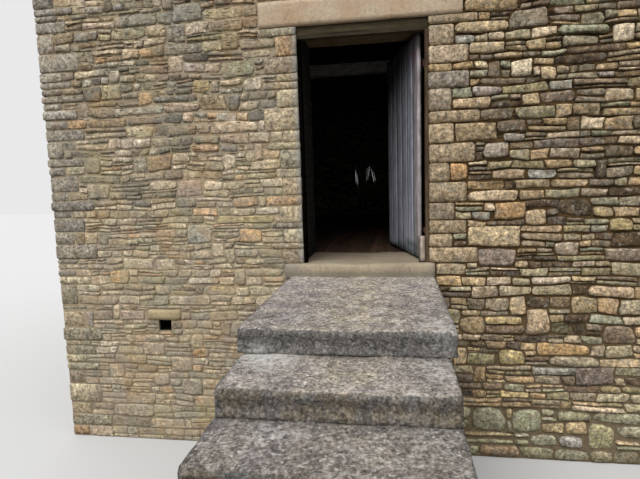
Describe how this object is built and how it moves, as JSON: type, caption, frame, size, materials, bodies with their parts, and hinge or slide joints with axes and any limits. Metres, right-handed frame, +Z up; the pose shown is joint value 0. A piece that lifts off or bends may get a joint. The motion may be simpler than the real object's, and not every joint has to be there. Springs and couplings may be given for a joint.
{
  "type": "rubble stone barn with a raised doorway and concrete steps",
  "caption": "Gabled rubble-stone barn on a hollow base, with a raised doorway, an inward-opening ledged board door and a straight flight of concrete steps up to it.",
  "frame": {"origin": "ground level on the outer face of the front wall, below the middle of the doorway", "axes": "+X runs right along the front, +Y runs into the barn along its ridge, +Z is up"},
  "size_m": [6.34, 12.66, 6.6673],
  "materials": {
    "rubble_stone": "matte",
    "dressed_sandstone": "matte",
    "step_concrete": "matte",
    "weathered_boards": "matte",
    "old_timber": "matte",
    "sawn_boards": "matte",
    "roof_slate": "matte",
    "ridge_tile": "matte",
    "wrought_iron": "matte"
  },
  "bodies": {
    "building": {"front_wall_left": "rubble_stone", "front_wall_right": "rubble_stone", "front_wall_under_door": "rubble_stone", "front_wall_over_door": "rubble_stone", "front_gable": "rubble_stone", "back_wall": "rubble_stone", "back_gable": "rubble_stone", "left_wall": "rubble_stone", "right_wall": "rubble_stone", "stone_lintel": "dressed_sandstone", "timber_lintels": "old_timber", "threshold": "dressed_sandstone", "vent_lintel": "dressed_sandstone", "back_window_lintel": "dressed_sandstone", "back_window_sill": "dressed_sandstone", "back_window_slats": "old_timber", "door_post_left": "old_timber", "door_post_right": "old_timber", "door_head": "old_timber", "post_foot_block": "weathered_boards", "hinge_pintles": "wrought_iron", "floor_boards": "sawn_boards", "floor_joists": "old_timber", "tie_beam": "old_timber", "principal_rafter_left": "old_timber", "principal_rafter_right": "old_timber", "purlins": "old_timber", "ridge_beam": "old_timber", "rafters": "old_timber", "roof_boards_left": "sawn_boards", "roof_boards_right": "sawn_boards", "slates_left": "roof_slate", "slates_right": "roof_slate", "ridge_tiles": "ridge_tile", "landing": "step_concrete", "step_01": "step_concrete", "step_02": "step_concrete", "step_03": "step_concrete", "step_04": "step_concrete", "step_05": "step_concrete", "step_06": "step_concrete", "step_07": "step_concrete", "step_08": "step_concrete", "step_09": "step_concrete", "step_10": "step_concrete", "stair_core": "rubble_stone"},
    "door_leaf": {"door_boards": "weathered_boards", "door_ledges": "old_timber", "strap_hinges": "wrought_iron"}
  },
  "joints": [
    {"name": "door_swing", "type": "hinge", "parent": "building", "child": "door_leaf", "pos_m": [0.528, 0.165, 1.75], "axis": [0, 0, 1], "range_deg": [-12, 75]}
  ]
}
